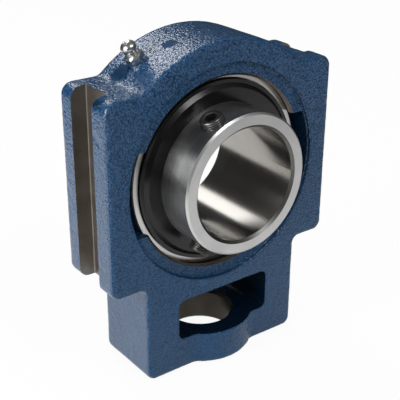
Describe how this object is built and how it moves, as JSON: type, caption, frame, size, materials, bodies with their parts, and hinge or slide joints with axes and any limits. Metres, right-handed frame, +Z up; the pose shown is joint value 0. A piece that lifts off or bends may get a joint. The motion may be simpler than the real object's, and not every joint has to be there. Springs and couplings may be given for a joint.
{
  "type": "take-up bearing unit",
  "caption": "Take-up bearing unit: a self-aligning ball bearing insert in a cast block with guide slots down both sides, a window for the adjusting nut and a bore for the screw.",
  "frame": {"origin": "centre of the bearing: on the shaft axis, in the plane of the balls and the housing's middle", "axes": "+Z up along the take-up travel, away from the adjusting screw; the shaft lies along Y and the grub screw side faces -Y; X runs across the guide slots"},
  "size_m": [0.117, 0.0571, 0.15],
  "materials": {
    "housing_paint": "semi-gloss dark blue paint over a sand casting, machined bare in the guide slots, seat and screw bore",
    "nipple_steel": "bright zinc plate",
    "ball_steel": "polished",
    "spring_steel": "drawn wire",
    "outer_ring_steel": "ground",
    "inner_ring_steel": "ground, with turning marks",
    "cage_polymer": "moulded nylon",
    "seal_sheet": "pressed sheet",
    "seal_rubber": "moulded nitrile",
    "flinger_sheet": "dark phosphated sheet",
    "screw_steel": "black oxide"
  },
  "bodies": {
    "housing": {"housing": "housing_paint", "nipple_body": "nipple_steel"},
    "check_ball": {"nipple_ball": "ball_steel", "nipple_spring": "spring_steel"},
    "insert": {"outer_ring": "outer_ring_steel", "seal_case_front": "seal_sheet", "seal_lip_front": "seal_rubber", "seal_case_rear": "seal_sheet", "seal_lip_rear": "seal_rubber"},
    "inner_ring": {"inner_ring": "inner_ring_steel", "flinger_front": "flinger_sheet", "flinger_rear": "flinger_sheet"},
    "cage": {"cage": "cage_polymer"},
    "ball_01": {"ball_01": "ball_steel"},
    "ball_02": {"ball_02": "ball_steel"},
    "ball_03": {"ball_03": "ball_steel"},
    "ball_04": {"ball_04": "ball_steel"},
    "ball_05": {"ball_05": "ball_steel"},
    "ball_06": {"ball_06": "ball_steel"},
    "ball_07": {"ball_07": "ball_steel"},
    "ball_08": {"ball_08": "ball_steel"},
    "ball_09": {"ball_09": "ball_steel"},
    "ball_10": {"ball_10": "ball_steel"},
    "grub_screw_1": {"grub_screw_1": "screw_steel"},
    "grub_screw_2": {"grub_screw_2": "screw_steel"}
  },
  "joints": [
    {"name": "check_ball_travel", "type": "slide", "parent": "housing", "child": "check_ball", "axis": [0.5299, 0, -0.848], "range_m": [0, 0.0008], "stiffness_N_per_m": 400, "springref_m": -0.002},
    {"name": "insert_tilt", "type": "hinge", "parent": "housing", "child": "insert", "pos_m": [0, 0, 0], "axis": [1, 0, 0], "range_deg": [-5, 5]},
    {"name": "inner_ring_spin", "type": "hinge", "parent": "insert", "child": "inner_ring", "pos_m": [0, 0, 0], "axis": [0, 1, 0], "continuous": true},
    {"name": "cage_spin", "type": "hinge", "parent": "insert", "child": "cage", "pos_m": [0, 0, 0], "axis": [0, 1, 0], "continuous": true},
    {"name": "ball_01_spin", "type": "hinge", "parent": "cage", "child": "ball_01", "pos_m": [0.035, 0, 0], "axis": [0, 1, 0], "continuous": true},
    {"name": "ball_02_spin", "type": "hinge", "parent": "cage", "child": "ball_02", "pos_m": [0.02832, 0, 0.02057], "axis": [0, 1, 0], "continuous": true},
    {"name": "ball_03_spin", "type": "hinge", "parent": "cage", "child": "ball_03", "pos_m": [0.01082, 0, 0.03329], "axis": [0, 1, 0], "continuous": true},
    {"name": "ball_04_spin", "type": "hinge", "parent": "cage", "child": "ball_04", "pos_m": [-0.01082, 0, 0.03329], "axis": [0, 1, 0], "continuous": true},
    {"name": "ball_05_spin", "type": "hinge", "parent": "cage", "child": "ball_05", "pos_m": [-0.02832, 0, 0.02057], "axis": [0, 1, 0], "continuous": true},
    {"name": "ball_06_spin", "type": "hinge", "parent": "cage", "child": "ball_06", "pos_m": [-0.035, 0, 0], "axis": [0, 1, 0], "continuous": true},
    {"name": "ball_07_spin", "type": "hinge", "parent": "cage", "child": "ball_07", "pos_m": [-0.02832, 0, -0.02057], "axis": [0, 1, 0], "continuous": true},
    {"name": "ball_08_spin", "type": "hinge", "parent": "cage", "child": "ball_08", "pos_m": [-0.01082, 0, -0.03329], "axis": [0, 1, 0], "continuous": true},
    {"name": "ball_09_spin", "type": "hinge", "parent": "cage", "child": "ball_09", "pos_m": [0.01082, 0, -0.03329], "axis": [0, 1, 0], "continuous": true},
    {"name": "ball_10_spin", "type": "hinge", "parent": "cage", "child": "ball_10", "pos_m": [0.02832, 0, -0.02057], "axis": [0, 1, 0], "continuous": true},
    {"name": "grub_screw_1_feed", "type": "slide", "parent": "inner_ring", "child": "grub_screw_1", "axis": [0.4163, 0, -0.9092], "range_m": [-0.002, 0.001]},
    {"name": "grub_screw_2_feed", "type": "slide", "parent": "inner_ring", "child": "grub_screw_2", "axis": [0.5793, 0, 0.8151], "range_m": [-0.002, 0.001]}
  ],
  "couplings": [
    {"joint": "cage_spin", "follows": "inner_ring_spin", "ratio": 0.40929},
    {"joint": "ball_01_spin", "follows": "inner_ring_spin", "ratio": -2.6652},
    {"joint": "ball_02_spin", "follows": "inner_ring_spin", "ratio": -2.6652},
    {"joint": "ball_03_spin", "follows": "inner_ring_spin", "ratio": -2.6652},
    {"joint": "ball_04_spin", "follows": "inner_ring_spin", "ratio": -2.6652},
    {"joint": "ball_05_spin", "follows": "inner_ring_spin", "ratio": -2.6652},
    {"joint": "ball_06_spin", "follows": "inner_ring_spin", "ratio": -2.6652},
    {"joint": "ball_07_spin", "follows": "inner_ring_spin", "ratio": -2.6652},
    {"joint": "ball_08_spin", "follows": "inner_ring_spin", "ratio": -2.6652},
    {"joint": "ball_09_spin", "follows": "inner_ring_spin", "ratio": -2.6652},
    {"joint": "ball_10_spin", "follows": "inner_ring_spin", "ratio": -2.6652}
  ]
}
